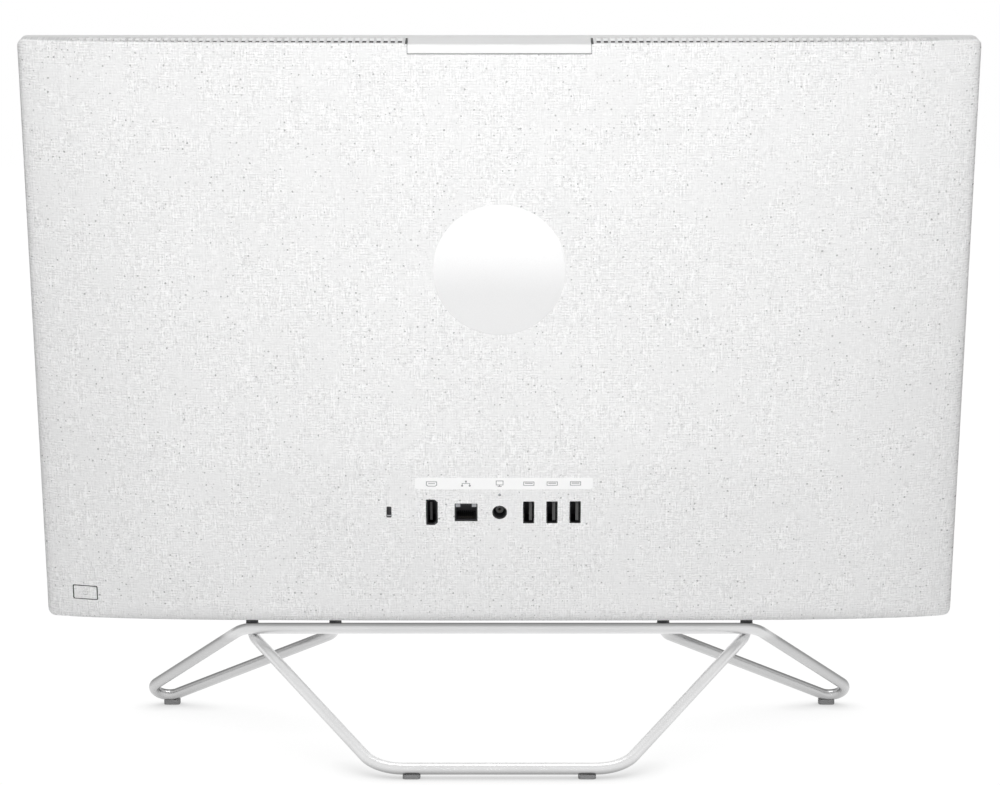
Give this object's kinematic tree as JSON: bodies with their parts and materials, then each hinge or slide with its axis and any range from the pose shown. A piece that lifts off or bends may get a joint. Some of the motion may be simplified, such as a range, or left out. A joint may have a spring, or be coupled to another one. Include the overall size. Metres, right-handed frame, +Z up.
{
  "type": "all in one pc",
  "caption": "Desktop computer built into a wide flat display, hinged on a stand bent from two metal rods, with a rear connector row, pop-up camera and speckled white rear cover.",
  "frame": {"origin": "middle of the footprint on the table, under the stand", "axes": "+Z up, +Y to the rear with the screen facing -Y, +X to the right of someone looking at the screen"},
  "size_m": [0.5408, 0.196, 0.4091],
  "materials": {
    "frame_paint": "light grey satin moulded frame",
    "black_mask": "black printed border",
    "screen": "anti-glare screen surface, unlit",
    "tray_steel": "pressed sheet",
    "woven_white": "woven speaker cloth",
    "cover_white": "white woven-texture moulding with fine dark specks",
    "label_white": "smooth white print strip",
    "badge_plain": "plain polished disc",
    "mesh_black": "black dust cloth",
    "pcb_green": "solder-masked board",
    "cam_white": "smooth white moulding",
    "lens_glass": "dark lens window",
    "black_plastic": "black moulding",
    "brass_parts": "turned brass",
    "zinc_screws": "zinc plated",
    "port_steel": "bright plated shell",
    "gold_contacts": "gold flashed contacts",
    "clear_guide": "clear light guide",
    "chip_metal": "nickel plated lid",
    "copper": "bare copper",
    "fin_alu": "thin bare fins",
    "impeller_black": "black impeller",
    "pcb_blue": "solder-masked card",
    "antenna_foil": "etched antenna strip",
    "drive_alu": "cast drive case",
    "cable_film": "black film cable",
    "cone_black": "paper cones",
    "hinge_steel": "thick zinc plated steel",
    "pin_steel": "ground steel",
    "rod_silver": "satin silver coated rod",
    "rubber_grey": "dark grey rubber"
  },
  "bodies": {
    "stand": {"hinge_barrel_left": "hinge_steel", "hinge_barrel_right": "hinge_steel", "hinge_pins": "pin_steel", "friction_washers": "brass_parts", "front_leg_rod": "rod_silver", "rear_leg_rod": "rod_silver", "front_foot_pads": "rubber_grey", "rear_foot_pads": "rubber_grey"},
    "display": {"front_frame": "frame_paint", "screen_border": "black_mask", "lcd_panel": "screen", "backlight_tray": "tray_steel", "chin_grille": "woven_white", "chassis_plate": "tray_steel", "rear_cover": "cover_white", "port_label_strip": "label_white", "badge_disc": "badge_plain", "dust_meshes": "mesh_black", "button_board": "pcb_green", "webcam_guide": "black_plastic", "push_latch": "black_plastic", "system_board": "pcb_green", "board_standoffs": "brass_parts", "board_screws": "zinc_screws", "video_port_shell": "port_steel", "network_jack": "black_plastic", "power_inlet": "black_plastic", "port_contacts": "gold_contacts", "light_guide": "clear_guide", "usb_shells": "port_steel", "port_tongues": "black_plastic", "port_shield": "tray_steel", "lock_plate": "tray_steel", "processor": "chip_metal", "cold_plate": "copper", "heat_pipe": "copper", "fin_stack": "fin_alu", "blower_housing": "black_plastic", "blower_spindle": "zinc_screws", "memory_modules": "pcb_green", "board_sockets": "black_plastic", "solid_state_drive": "pcb_blue", "radio_card": "pcb_blue", "antennas": "antenna_foil", "coin_cell": "zinc_screws", "hard_drive": "drive_alu", "drive_bracket": "tray_steel", "driver_board": "pcb_green", "display_cable": "cable_film", "speaker_left": "black_plastic", "speaker_right": "black_plastic", "speaker_cones": "cone_black", "hinge_bracket_left": "hinge_steel", "hinge_bracket_right": "hinge_steel", "hinge_screws": "zinc_screws"},
    "webcam": {"webcam_housing": "cam_white", "webcam_lens": "lens_glass", "webcam_board": "pcb_green"},
    "button": {"power_button": "cover_white"},
    "fan": {"blower_impeller": "impeller_black"}
  },
  "joints": [
    {"name": "tilt", "type": "hinge", "parent": "stand", "child": "display", "pos_m": [0, -0.0414, 0.07528], "axis": [-1, 0, 0], "range_deg": [-17.5, 7.5]},
    {"name": "webcam_slide", "type": "slide", "parent": "display", "child": "webcam", "axis": [0, 0.2164, 0.9763], "range_m": [0, 0.016]},
    {"name": "power_press", "type": "slide", "parent": "display", "child": "button", "axis": [0, -0.9763, 0.2164], "range_m": [0, 0.0008]},
    {"name": "blower_spin", "type": "hinge", "parent": "display", "child": "fan", "pos_m": [0.12, 0.0124, 0.29484], "axis": [0, 0.9763, -0.2164], "continuous": true}
  ]
}
